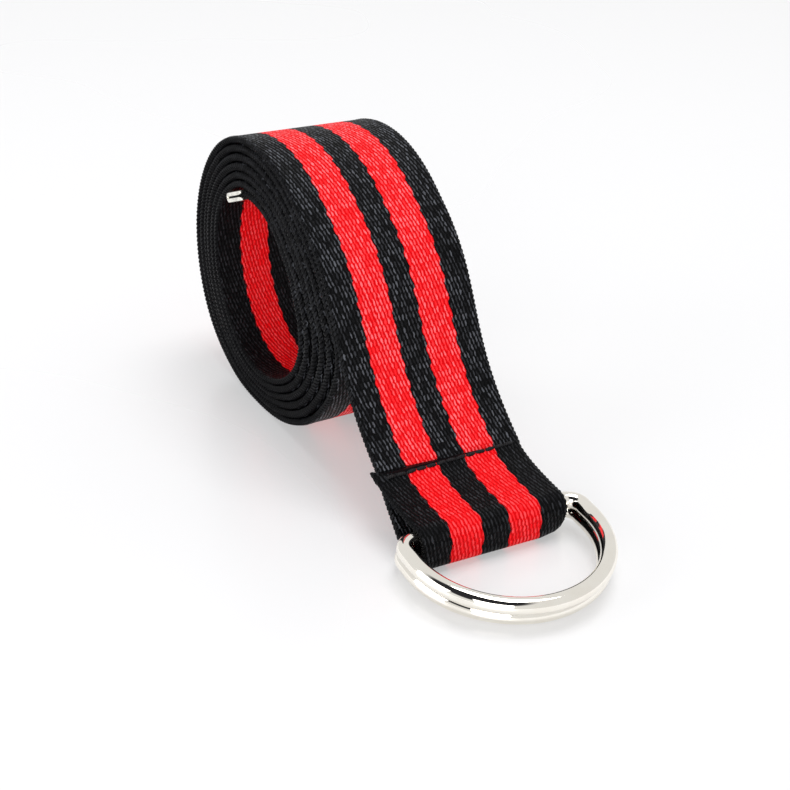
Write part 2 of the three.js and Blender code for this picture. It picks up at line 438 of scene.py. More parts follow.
    @staticmethod
    def spread(g: Graph, first: Value, second: Value, scale: tuple[float, float],
               depth: float = 0.0, detail: float = 2.0) -> Socket:
        """Smooth noise over the webbing, scaled by itself in each direction.

        Args:
            g: the material's graph.
            first: the first coordinate.
            second: the second coordinate.
            scale: how fine the noise is along each of them.
            depth: makes one noise differ from another.
            detail: how many finer layers it has.

        Returns:
            The noise.
        """
        where = g.vector(g.mul(first, scale[0]), g.mul(second, scale[1]), depth)
        return g.noise(where, 1.0, detail)

    def rope(self, g: Graph, along: Value, around: Value) -> Socket:
        """Height of the weft's loops on the strap's edges.

        Args:
            g: the material's graph.
            along: millimetres along the strap.
            around: millimetres around it.

        Returns:
            The height, from 0 to 1.
        """
        turn = g.add(g.math("DIVIDE", along, self.rope_pitch), g.mul(around, self.rope_twist))
        return g.hump(g.math("FRACT", turn), self.rope_sharpness)

    def stripes(self, g: Graph, along: Value, across: Value, place: Value, column: Value) -> Socket:
        """Where the webbing is red: 1 on the stripes, and 0 on the black.

        Args:
            g: the material's graph.
            along: millimetres along the strap.
            across: millimetres across it.
            place: place among the leaning columns of ridges.
            column: the column's number.

        Returns:
            The stripes' mask.
        """
        pull = g.mul(g.sub(g.add(column, 0.5), place), self.stripe_pull)
        jog = self.spread(g, along, across, self.jog_scale)
        wave_turn = 2 * math.pi / (self.rows_per_column * self.ridge_pitch)
        wave = g.mul(g.math("SINE", g.mul(along, wave_turn)), self.edge_wave)
        at = g.add(g.add(across, wave), g.add(pull, g.mul(g.sub(jog, 0.5), self.jog_reach)))
        red: Value = 0.0
        for start, end in zip(self.stripe_starts, self.stripe_ends):
            begun = g.step(at, start - self.stripe_blur, start + self.stripe_blur)
            inside = g.mul(begun, g.step(at, end + self.stripe_blur, end - self.stripe_blur))
            red = g.math("MAXIMUM", red, inside)
        return red


@dataclass(frozen=True)
class PolishedNickel:
    """Bright warm nickel plate with faint handling marks."""

    colour: tuple = srgb(247, 243, 234)
    clouded: tuple = srgb(244, 239, 229)
    cloud_scale: float = 260.0
    mark_scale: float = 1900.0
    roughness: float = 0.045
    mark_roughness: float = 0.06
    dent_depth: float = 0.01

    def material(self) -> bpy.types.Material:
        """Makes the rings' material.

        Returns:
            The material.
        """
        material = bpy.data.materials.new("polished_nickel")
        g = Graph(material)
        where = g.place()
        cloud = g.noise(where, self.cloud_scale, 3.0)
        marks = g.noise(where, self.mark_scale, 2.0)
        g.set("Base Color", g.mix(g.step(cloud, 0.3, 0.75), self.colour, self.clouded))
        g.set("Metallic", 1.0)
        marked = g.mul(g.step(marks, 0.5, 0.8), self.mark_roughness)
        g.set("Roughness", g.add(self.roughness, marked))
        g.bump(g.add(g.mul(cloud, 0.3), g.mul(marks, 0.2)), self.dent_depth * MM, 0.3)
        return material


@dataclass(frozen=True)
class FoldedSteel:
    """Bright pressed plate of the tip, with fine drawing lines."""

    colour: tuple = srgb(240, 238, 230)
    worn: tuple = srgb(206, 203, 196)
    line_scale: float = 900.0
    line_stretch: float = 9.0
    line_depth: float = 0.015
    wear_scale: float = 500.0
    roughness: float = 0.16
    line_roughness: float = 0.12

    def material(self) -> bpy.types.Material:
        """Makes the tip's material.

        Returns:
            The material.
        """
        material = bpy.data.materials.new("folded_steel")
        g = Graph(material)
        where = g.place()
        parts = g.tree.nodes.new("ShaderNodeSeparateXYZ")
        g.tree.links.new(where, parts.inputs[0])
        drawn = g.vector(g.mul(parts.outputs[0], self.line_stretch), parts.outputs[1],
                         g.mul(parts.outputs[2], self.line_stretch))
        lines = g.noise(drawn, self.line_scale, 3.0)
        wear = g.noise(where, self.wear_scale, 2.0)
        g.set("Base Color", g.mix(g.step(wear, 0.4, 0.75), self.colour, self.worn))
        g.set("Metallic", 1.0)
        g.set("Roughness", g.add(self.roughness, g.mul(lines, self.line_roughness)))
        g.bump(lines, self.line_depth * MM, 0.5)
        return material


@dataclass(frozen=True)
class SewingThread:
    """Black twisted thread of the seam."""

    colour: tuple = srgb(5, 5, 6)
    # painted highlight: the lighter colour painted on the crowns of the plies
    light: tuple = srgb(26, 26, 29)
    twist: float = 0.45
    ply_depth: float = 0.05
    roughness: float = 0.6
    gloss: float = 0.2

    def material(self) -> bpy.types.Material:
        """Makes the thread's material.

        Returns:
            The material.
        """
        material = bpy.data.materials.new("sewing_thread")
        g = Graph(material)
        along, around = g.uv("weave")
        turn = g.math("FRACT", g.add(g.math("DIVIDE", along, self.twist), around))
        ply = g.hump(turn, 2.0)
        # painted highlight on the ply crowns, mixed into the black thread colour
        g.set("Base Color", g.mix(g.step(ply, 0.3, 1.0), self.colour, self.light))
        g.set("Roughness", self.roughness)
        g.shader.inputs["Specular IOR Level"].default_value = self.gloss
        g.bump(ply, self.ply_depth * MM)
        return material


@dataclass(frozen=True)
class GlossyTable:
    """White table with a soft shine."""

    colour: tuple = (0.5, 0.5, 0.505, 1.0)
    shaded: tuple = (0.485, 0.485, 0.495, 1.0)
    cloud_scale: float = 3.0
    glow: float = 0.35
    roughness: float = 0.24
    cloud_roughness: float = 0.06
    gloss: float = 0.5

    def material(self) -> bpy.types.Material:
        """Makes the table's material.

        Returns:
            The material.
        """
        material = bpy.data.materials.new("white_table")
        g = Graph(material)
        where = g.place()
        cloud = g.noise(where, self.cloud_scale, 2.0)
        g.set("Base Color", g.mix(cloud, self.colour, self.shaded))
        g.set("Emission Color", WHITE)
        g.set("Emission Strength", self.glow)
        g.set("Roughness", g.add(self.roughness, g.mul(cloud, self.cloud_roughness)))
        g.shader.inputs["Specular IOR Level"].default_value = self.gloss
        return material


@dataclass
class Mesh:
    """A mesh of corners, faces and a UV map in the making, in millimetres."""

    corners: list = field(default_factory=list)
    faces: list = field(default_factory=list)
    uvs: list = field(default_factory=list)

    def loft(self, rings: np.ndarray, uv: np.ndarray, closed: bool) -> None:
        """Adds a skin through rings of points.

        Args:
            rings: places of the points, by ring and then round it.
            uv: the UV of each point, with one more round each ring and, if closed, one more ring.
            closed: whether the last ring is joined to the first.
        """
        base = len(self.corners)
        count, around = rings.shape[:2]
        self.corners.extend(rings.reshape(-1, 3).tolist())
        for here in range(count if closed else count - 1):
            there = (here + 1) % count
            for side in range(around):
                after = (side + 1) % around
                self.faces.append([
                    base + here * around + side,
                    base + here * around + after,
                    base + there * around + after,
                    base + there * around + side,
                ])
                self.uvs.extend([
                    uv[here, side], uv[here, side + 1], uv[here + 1, side + 1], uv[here + 1, side],
                ])
        if not closed:
            last = base + (count - 1) * around
            self.faces.append([base + side for side in reversed(range(around))])
            self.uvs.extend([uv[0, side, 0], 0.0] for side in reversed(range(around)))
            self.faces.append([last + side for side in range(around)])
            self.uvs.extend([uv[count - 1, side, 0], 0.0] for side in range(around))

    def build(self, name: str, material: bpy.types.Material) -> bpy.types.Object:
        """Makes the Blender object.

        Args:
            name: the object's name.
            material: its material.

        Returns:
            The object, with smooth shading.
        """
        data = bpy.data.meshes.new(name)
        data.from_pydata([[x * MM for x in corner] for corner in self.corners], [], self.faces)
        layer = data.uv_layers.new(name="weave")
        layer.data.foreach_set("uv", np.array(self.uvs, np.float32).ravel())
        data.materials.append(material)
        data.polygons.foreach_set("use_smooth", [True] * len(data.polygons))
        data.update()
        made = bpy.data.objects.new(name, data)
        bpy.context.scene.collection.objects.link(made)
        return made


@dataclass
class BeltPlan:
    """The belt's own sizes in millimetres, the same as the solids', and the lines that follow."""

    base_shift: tuple[float, float] = (-36.467, 0.994)
    webbing_width: float = 38.0
    webbing_thickness: float = 1.3
    coil_radius: float = 35.25
    coil_leave_angle: float = 45.0
    coil_turns: float = 6.175
    steps_per_turn: int = 96
    coil_angles: tuple = (0, 15, 30, 45, 60, 90, 120, 150, 180, 210, 240, 270, 300, 330, 345)
    coil_reaches: tuple = (
        1.300, 1.173, 1.100, 1.036, 1.031, 1.068, 1.115, 1.134, 1.145, 1.122, 1.03, 0.967,
        1.029, 1.164, 1.252,
    )
    coil_spacings: tuple = (
        3.0, 2.62, 2.31, 2.02, 1.92, 1.81, 1.72, 1.66, 1.85, 1.85, 1.46, 1.26, 1.62, 2.19, 2.62,
    )
    seam_reach: float = 63.3
    seam_height: float = 12.2
    seam_slope: float = 36.0
    seam_gap: float = 0.1
    fold_foot_radius: float = 2.6
    fold_top_radius: float = 3.4
    fold_room: float = 0.8
    fold_yaw: float = 3.2
    fold_side_shift: float = -1.6
    fold_narrowing: float = 1.0
    tab_side_shift: float = -1.05
    run_eases: tuple[float, float] = (0.4, 0.53)
    layer_eases: tuple[float, float] = (0.36, 0.26)
    tab_eases: tuple[float, float] = (0.24, 0.24)
    ring_wire: float = 3.8
    ring_inner_width: float = 41.2
    ring_corner_radius: float = 3.5
    ring_side_length: float = 3.2
    ring_reach: float = 16.2
    lower_ring_side: float = -0.3
    upper_ring_shift: tuple[float, float] = (1.8, -0.8)
    bar_gap: float = 0.25
    ring_gap: float = 0.15
    tip_length: float = 10.0
    tip_plate: float = 0.6
    tip_clearance: float = 0.1

    @property
    def half(self) -> float:
        """Half the webbing's thickness."""
        return self.webbing_thickness / 2

    @property
    def ring_half_width(self) -> float:
        """From the ring's middle to the middle of its side."""
        return (self.ring_inner_width + self.ring_wire) / 2

    @property
    def lower_bar(self) -> np.ndarray:
        """Middle of the lower ring's bar."""
        height = self.webbing_thickness + self.bar_gap + self.ring_wire / 2
        return np.array([self.seam_reach + self.ring_reach, self.lower_ring_side, height])

    @property
    def upper_bar(self) -> np.ndarray:
        """Middle of the upper ring's bar."""
        ahead, aside = self.upper_ring_shift
        return self.lower_bar + np.array([ahead, aside, self.ring_wire + self.ring_gap])

    @property
    def ring_tilt(self) -> float:
        """How far the rings' arcs dip towards the floor, in radians."""
        depth = self.ring_corner_radius + self.ring_side_length + self.ring_half_width
        return math.asin((self.lower_bar[2] - self.ring_wire / 2) / depth)

    def to_row(self, points: np.ndarray) -> np.ndarray:
        """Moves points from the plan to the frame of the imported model.

        Args:
            points: places on the plan, in millimetres.

        Returns:
            The same places with the origin at the middle of the belt's base.
        """
        return points + np.array([*self.base_shift, 0.0])

    def coil_shape(self, angle: float, column: Sequence[float]) -> float:
        """Value of one column of the coil's table at any angle, smooth all the way round.

        Args:
            angle: degrees up from the side of the rings.
            column: the column's values.

        Returns:
            The value there.
        """
        count = len(self.coil_angles)
        turned = angle % 360
        after = next((i for i, a in enumerate(self.coil_angles) if a > turned), count)
        rows = []
        for index in range(after - 2, after + 2):
            laps = index // count
            rows.append((self.coil_angles[index - laps * count] + 360 * laps,
                         column[index - laps * count]))
        (a, av), (b, bv), (c, cv), (d, dv) = rows
        span = c - b
        slope_b = (cv - av) / (c - a)
        slope_c = (dv - bv) / (d - b)
        t = (turned - b) / span
        return ((1 + 2 * t) * (1 - t) ** 2 * bv + t * (1 - t) ** 2 * span * slope_b
                + t ** 2 * (3 - 2 * t) * cv + t ** 2 * (t - 1) * span * slope_c)

    def coil_point(self, turns: float) -> np.ndarray:
        """Middle line of the coil round its own centre.

        Args:
            turns: how many turns in from where the strap leaves the coil.

        Returns:
            The point, across and up.
        """
        angle = self.coil_leave_angle + 360 * turns
        outside = self.coil_shape(angle, self.coil_reaches) * self.coil_radius
        spacing = self.coil_shape(angle, self.coil_spacings) * self.webbing_thickness
        return heading(angle) * (outside - spacing * turns - self.half)

    def coil_line(self) -> np.ndarray:
        """Coil from its inner end to where the strap leaves it, resting on the floor.

        Returns:
            A row for each point, across and up.
        """
        steps = round(self.coil_turns * self.steps_per_turn)
        points = np.array([self.coil_point(self.coil_turns * s / steps) for s in range(steps, -1, -1)])
        points[:, 1] += self.half - points[:, 1].min()
        return points

    def coil_room(self, count: int) -> np.ndarray:
        """Free room between the turns, outside and inside each point of the coil's line.

        Args:
            count: how many points the line has.

        Returns:
            A row for each point, in millimetres.
        """
        rows = []
        for turns in np.linspace(self.coil_turns, 0, count):
            angle = self.coil_leave_angle + 360 * turns
            free = (self.coil_shape(angle, self.coil_spacings) - 1) * self.webbing_thickness
            rows.append((free if turns > 1.02 else 0.0, free if turns < self.coil_turns - 1.0 else 0.0))
        return np.array(rows)

    @staticmethod
    def blend(start: np.ndarray, leaving: np.ndarray, end: np.ndarray, arriving: np.ndarray,
              eases: tuple[float, float], steps: int) -> np.ndarray:
        """Curve that leaves one point along a heading and reaches another along a second one.

        Args:
            start: the first point.
            leaving: the heading there.
            end: the last point.
            arriving: the heading there.
            eases: shares of the way over which each heading is held.
            steps: how many points it gives.

        Returns:
            Points along the curve, without its first one.
        """
        reach = np.linalg.norm(end - start)
        first = start + leaving * reach * eases[0]
        second = end - arriving * reach * eases[1]
        t = (np.arange(1, steps + 1) / steps)[:, None]
        return ((1 - t) ** 3 * start + 3 * (1 - t) ** 2 * t * first
                + 3 * (1 - t) * t ** 2 * second + t ** 3 * end)

    @staticmethod
    def quarter(centre: np.ndarray, radius: float, start: float, steps: int = 10) -> np.ndarray:
        """Quarter turn round a centre, counted up from +X."""
        return np.array([centre + heading(start + 90 * s / steps) * radius for s in range(steps + 1)])

    def strap_line(self) -> np.ndarray:
        """Middle line of the whole strap.

        Returns:
            A row for each station: x, z, how far it shares the fold's yaw, its side shift, and
            the room to the next turns outside and inside.
        """
        coil = self.coil_line()
        sweep = self.tip_length / (2 * math.pi * np.linalg.norm(self.coil_point(self.coil_turns)))
        inward = self.coil_point(self.coil_turns + sweep) - self.coil_point(self.coil_turns)
        inward /= np.linalg.norm(inward)
        inserted = self.tip_length - self.tip_plate - self.tip_clearance
        leaving = coil[-1] - coil[-2]
        leaving /= np.linalg.norm(leaving)
        seam = np.array([self.seam_reach, self.seam_height])
        down = heading(-self.seam_slope)
        run = self.blend(coil[-1], leaving, seam, down, self.run_eases, 60)
        foot = np.array([self.lower_bar[0], self.half])
        layer = self.blend(seam, down, foot, heading(0), self.layer_eases, 40)
        front = self.upper_bar[0] + self.ring_wire / 2 + self.fold_room + self.half
        top = self.upper_bar[2] + self.ring_wire / 2 + self.bar_gap + self.half
        low = np.array([front - self.fold_foot_radius, self.half + self.fold_foot_radius])
        high = np.array([front - self.fold_top_radius, top - self.fold_top_radius])
        fold = np.concatenate([
            self.quarter(low, self.fold_foot_radius, -90), self.quarter(high, self.fold_top_radius, 0),
        ])
        end = seam + heading(90 - self.seam_slope) * (self.webbing_thickness + self.seam_gap)
        tab = self.blend(fold[-1], heading(180), end, heading(180 - self.seam_slope),
                         self.tab_eases, 40)

        def rows(points: np.ndarray, turned: np.ndarray, aside: np.ndarray) -> np.ndarray:
            """Joins the points to their yaw and side shift, with no turns beside them."""
            return np.column_stack([points, turned, aside, np.zeros((len(points), 2))])

        def shares(points: np.ndarray) -> np.ndarray:
            """How far along each point is, from just over 0 to 1."""
            return np.arange(1, len(points) + 1) / len(points)

        still = np.zeros
        return np.concatenate([
            rows(np.array([coil[0] + inward * inserted]), still(1), still(1)),
            np.column_stack([coil, np.zeros((len(coil), 2)), self.coil_room(len(coil))]),
            rows(run, still(len(run)), still(len(run))),
            rows(layer, shares(layer), self.fold_side_shift * shares(layer)),
            rows(fold, np.ones(len(fold)), np.full(len(fold), self.fold_side_shift)),
            rows(tab, 1 - shares(tab), self.fold_side_shift
                 + (self.tab_side_shift - self.fold_side_shift) * shares(tab)),
        ])


@dataclass
class WovenStrap:
    """The webbing, from its end in the metal tip to the end of the sewn tab."""

    plan: BeltPlan
    step: float = 0.285
    edge_radius: float = 0.55
    loop_length: float = 1.2
    loop_depth: float = 0.18
    bead: float = 0.12
    bead_limit: float = 0.5
    corner_reach: float = 2.2
    corner_bulge: float = 0.9
    foot_bulge: float = 0.3
    corner_lift: float = 2.4
    corner_back: float = 0.6
    corner_starts: tuple[float, float, float] = (4.5, 7.0, 14.0)
    corner_span: float = 5.0
    near_start: float = 13.5
    near_span: float = 5.5
    end_span: float = 2.6
    foot_place: float = 4.0
    foot_span: float = 5.0
    sway: float = 0.12
    sway_length: float = 47.0
    turn_room: float = 0.06
    bead_share: float = 0.28
    flat_points: tuple = (-18.1, -16.7, -12.5, 0.0, 12.5, 16.7, 18.1)
    bead_from: float = 18.0

    @property
    def edge_length(self) -> float:
        """Way round one of the strap's edges."""
        return math.pi * (self.edge_radius + self.plan.half) / 2

    @property
    def around(self) -> float:
        """Way once round the strap's section."""
        return 2 * (self.plan.webbing_width - 2 * self.edge_radius + self.edge_length)

    def stations(self) -> tuple[np.ndarray, np.ndarray]:
        """Even steps along the strap's middle line.

        Returns:
            The stations, and how far along the strap each one is.
        """
        line = self.plan.strap_line()
        keep = np.concatenate([[True], np.linalg.norm(np.diff(line[:, :2], axis=0), axis=1) > 1e-6])
        line = line[keep]
        gone = np.concatenate([[0], np.cumsum(np.linalg.norm(np.diff(line[:, :2], axis=0), axis=1))])
        count = round(gone[-1] / self.step)
        along = np.linspace(0, gone[-1], count + 1)
        return np.column_stack([np.interp(along, gone, column) for column in line.T]), along

    def section(self) -> np.ndarray:
        """Outline of the webbing across it, from the middle of its near edge.

        Returns:
            A row for each point: across, up, share of an edge's round, share of its bead, and
            millimetres gone round.
        """
        middle = self.plan.webbing_width / 2 - self.edge_radius
        quarter = self.edge_length / 2
        rows = []
        for sign in (1, -1):
            start = 0.0 if sign == 1 else self.around / 2
            for angle in (0, 45):
                turned = math.radians(angle)
                rows.append((-sign * (middle + self.edge_radius * math.cos(turned)),
                             sign * self.plan.half * math.sin(turned), math.cos(turned),
                             math.sin(turned), start + quarter * angle / 90))
            for across in self.flat_points:
                beaded = float(abs(across) > self.bead_from)
                rows.append((sign * across, sign * self.plan.half, 0.0, beaded,
                             start + quarter + across + middle))
            turned = math.radians(45)
            rows.append((sign * (middle + self.edge_radius * math.cos(turned)),
                         sign * self.plan.half * math.sin(turned), math.cos(turned),
                         math.sin(turned), start + self.around / 2 - quarter / 2))
        return np.array(rows)

    def rings(self) -> tuple[np.ndarray, np.ndarray, float]:
        """Places and UVs of the strap's skin.

        Returns:
            The rings of points, their UVs and the strap's length.
        """
        line, along = self.stations()
        across, up, round_off, bead, way = self.section().T
        tangent = np.gradient(line[:, :2], axis=0)
        tangent /= np.linalg.norm(tangent, axis=1)[:, None]
        normal = np.column_stack([-tangent[:, 1], tangent[:, 0]])
        yaw = np.radians(self.plan.fold_yaw) * line[:, 2]
        narrow = 1 - self.plan.fold_narrowing * line[:, 2] / self.plan.webbing_width
        side = np.column_stack([np.sin(yaw), np.cos(yaw)])
        length = along[-1]
        to_end = (length - along)[:, None]
        aside = line[:, 3] + self.sway * np.sin(along / self.sway_length) * (line[:, 2] == 0)
        turn = 2 * np.pi * along[:, None] / self.loop_length + LOOP_LEAN * up / self.plan.half
        turn = turn + (across > 0) * LOOP_OFFSET + LOOP_DRIFT * np.sin(along[:, None] / DRIFT_LENGTH)
        reach = across * narrow[:, None] + np.sign(across) * self.loop_depth * np.sin(turn) * round_off
        near = np.clip((-across - self.near_start) / self.near_span, 0, 1) ** 2
        at_end = np.exp(-((to_end / self.end_span) ** 2))
        reach -= near * self.corner_bulge * at_end
        foot = self.tab_foot(line, along)
        reach -= near * self.foot_bulge * foot[:, None]
        room = np.where(up[None, :] > 0, line[:, 4:5], line[:, 5:6])
        extra = np.clip(room / 2 - self.turn_room, self.bead, self.bead_limit) * bead
        extra = extra * (1 - self.bead_share + self.bead_share * np.sin(turn + BEAD_OFFSET))
        lift = up + np.sign(up) * extra
        slide = near * self.corner_reach * at_end
        rings = np.empty((len(line), len(across), 3))
        rings[..., 0] = line[:, None, 0] + normal[:, None, 0] * lift + side[:, None, 0] * reach
        rings[..., 1] = aside[:, None] + side[:, None, 1] * reach
        rings[..., 2] = line[:, None, 1] + normal[:, None, 1] * lift
        rings[..., 0] += tangent[:, None, 0] * slide
        rings[..., 2] += tangent[:, None, 1] * slide
        self.lift_corner(rings, line, across)
        uv = np.empty((len(line), len(across) + 1, 2))
        uv[..., 0] = along[:, None]
        uv[:, :-1, 1] = way
        uv[:, -1, 1] = self.around
        return self.plan.to_row(rings), uv, length

    def tab_foot(self, line: np.ndarray, along: np.ndarray) -> np.ndarray:
        """Share of the near edge's swell, just past the seam on the lower layer.

        Args:
            line: the strap's stations.
            along: how far along the strap each one is.

        Returns:
            The share at each station.
        """
        seam = along[np.argmin(np.hypot(line[:, 0] - self.plan.seam_reach,
                                        line[:, 1] - self.plan.seam_height))]
        return np.exp(-(((along - seam - self.foot_place) / self.foot_span) ** 2))

    def lift_corner(self, rings: np.ndarray, line: np.ndarray, across: np.ndarray) -> None:
        """Curls up the far lower corner of the fold, where it rides on the rings.

        Args:
            rings: the skin's points, which are moved.
            line: the strap's stations.
            across: how far across the strap each point of the section is.
        """
        front = line[:, 0].max()
        depth, height, start = self.corner_starts
        forward = np.clip((line[:, 0] - (front - depth)) / depth, 0, 1)
        low = np.clip(1 - line[:, 1] / height, 0, 1)
        outer = np.clip((across - start) / self.corner_span, 0, 1) ** 2
        amount = (forward * low)[:, None] * outer * self.corner_lift * (line[:, 2:3] == 1)
        rings[..., 2] += amount
        rings[..., 0] -= self.corner_back * amount

    def build(self) -> bpy.types.Object:
        """Makes the strap and puts it in place of its solid.

        Returns:
            The strap.
        """
        rings, uv, length = self.rings()
        mesh = Mesh()
        mesh.loft(rings, uv, closed=False)
        outer = (self.edge_length - 2 * self.edge_radius) / 2
        twill = StripedTwill(self.plan.webbing_width, self.around, outer)
        strap = mesh.build("woven_strap", twill.material())
        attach(strap, "strap")
        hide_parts("webbing_strap")
        LOG.info("woven_strap: %.0f mm long, %d faces", length, len(strap.data.polygons))
        return strap


@dataclass
class SeamStitches:
    """Row of thread stitches that holds the tab's end on the strap."""

    plan: BeltPlan
    count: int = 13
    inset: float = 1.8
    gap: float = 0.04
    thread: float = 0.95
    back: float = 0.25
    steps: int = 8
    sides: int = 8
    rise: float = 0.42
    rise_power: float = 0.6
    sink: float = 0.32
    end_thickness: float = 0.75
    wander: float = 0.1

    def stitch(self, start: np.ndarray, end: np.ndarray, up: np.ndarray, mesh: Mesh) -> None:
        """Adds one stitch that dives into the webbing at both ends.

        Args:
            start: its first end on the surface.
            end: its last end on the surface.
            up: the surface's direction.
            mesh: the mesh it is added to.
        """
        way = end - start
        length = np.linalg.norm(way)
        side = np.cross(up, way / length)
        rings, uv = [], []
        for k in range(self.steps + 1):
            share = k / self.steps
            bow = math.sin(math.pi * share)
            lift = self.thread * (self.rise * bow ** self.rise_power - self.sink)
            thick = self.thread / 2 * (self.end_thickness + (1 - self.end_thickness) * bow)
            middle = start + way * share + up * lift
            ring = []
            for s in range(self.sides):
                angle = 2 * math.pi * s / self.sides
                ring.append(middle + side * thick * math.cos(angle) + up * thick * math.sin(angle))
            rings.append(ring)
            uv.append([[share * length, s / self.sides] for s in range(self.sides + 1)])
        mesh.loft(np.array(rings), np.array(uv), closed=False)

    def build(self, thread: bpy.types.Material) -> bpy.types.Object:
        """Makes the row of stitches.

        Args:
            thread: the thread's material.

        Returns:
            The stitches.
        """
        plan = self.plan
        down, out = heading(-plan.seam_slope), heading(90 - plan.seam_slope)
        seam = np.array([plan.seam_reach, plan.seam_height])
        height = plan.webbing_thickness * 1.5 + plan.seam_gap
        place = seam + out * height + down * self.back
        up = np.array([out[0], 0.0, out[1]])
        half = plan.webbing_width / 2 - self.inset
        ends = np.linspace(-half, half, self.count + 1) + plan.tab_side_shift
        mesh = Mesh()
        for number in range(self.count):
            start = np.array([place[0], ends[number] + self.gap, place[1]])
            end = np.array([place[0], ends[number + 1] - self.gap, place[1]])
            drift = self.wander * math.sin(STITCH_BEAT * number) * np.array([down[0], 0, down[1]])
            self.stitch(start - drift, end + drift, up, mesh)
        mesh.corners = plan.to_row(np.array(mesh.corners)).tolist()
        made = mesh.build("seam_stitches", thread)
        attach(made, "strap")
        LOG.info("seam_stitches: %d stitches", self.count)
        return made


@dataclass
class WireRing:
    """A D-ring of round wire, smooth, in place of its faceted solid."""

    plan: BeltPlan
    name: str
    node: str
    bar: np.ndarray
    sides: int = 32
    arc_steps: int = 150
    bar_steps: int = 20
    corner_steps: int = 14
    side_steps: int = 5

    def centreline(self) -> np.ndarray:
        """Middle line once round, with its bar along Y through the origin.

        Returns:
            A row for each point, ahead and aside.
        """
        plan = self.plan
        half, corner = plan.ring_half_width, plan.ring_corner_radius
        straight, side_end = half - corner, corner + plan.ring_side_length
        points = [(0.0, y) for y in np.linspace(-straight, straight, self.bar_steps)]

        def arc(x: float, y: float, radius: float, start: float, end: float, steps: int) -> None:
            """Adds the points of an arc, without its first one.

            Args:
                x: its centre, ahead.
                y: its centre, aside.
                radius: its radius.
                start: the angle that it starts at, in degrees.
                end: the angle that it ends at.
                steps: how many points it gives.
            """
            for s in range(1, steps + 1):
                angle = math.radians(start + (end - start) * s / steps)
                points.append((x + radius * math.cos(angle), y + radius * math.sin(angle)))

        arc(corner, straight, corner, 180, 90, self.corner_steps)
        points.extend((x, half) for x in np.linspace(corner, side_end, self.side_steps)[1:])
        arc(side_end, 0.0, half, 90, -90, self.arc_steps)
        points.extend((x, -half) for x in np.linspace(side_end, corner, self.side_steps)[1:])
        arc(corner, -straight, corner, -90, -180, self.corner_steps)
        return np.array(points[:-1])

    def build(self, nickel: bpy.types.Material) -> bpy.types.Object:
        """Makes the ring, tilted and turned as it lies.

        Args:
            nickel: the rings' material.

        Returns:
            The ring.
        """
        line = self.centreline()
        tangent = np.roll(line, -1, axis=0) - np.roll(line, 1, axis=0)
        tangent /= np.linalg.norm(tangent, axis=1)[:, None]
        out = np.column_stack([-tangent[:, 1], tangent[:, 0]])
        radius = self.plan.ring_wire / 2
        angles = 2 * np.pi * np.arange(self.sides) / self.sides
        rings = np.zeros((len(line), self.sides, 3))
        rings[..., :2] = line[:, None] + out[:, None] * (radius * np.cos(angles))[None, :, None]
        rings[..., 2] = radius * np.sin(angles)
        turn = (Matrix.Rotation(-math.radians(self.plan.fold_yaw), 3, "Z")
                @ Matrix.Rotation(self.plan.ring_tilt, 3, "Y"))
        rings = rings @ np.array(turn).T + self.bar
        steps = np.concatenate([[0], np.cumsum(np.linalg.norm(np.diff(line, axis=0), axis=1))])
        along = np.append(steps, steps[-1] + 1)
        uv = np.empty((len(line) + 1, self.sides + 1, 2))
        uv[..., 0] = along[:, None]
        uv[..., 1] = np.arange(self.sides + 1) / self.sides
        mesh = Mesh()
        mesh.loft(self.plan.to_row(rings), uv, closed=True)
        made = mesh.build(self.name, nickel)
        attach(made, self.node)
        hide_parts(self.node)
        LOG.info("%s: %d faces", self.name, len(made.data.polygons))
        return made


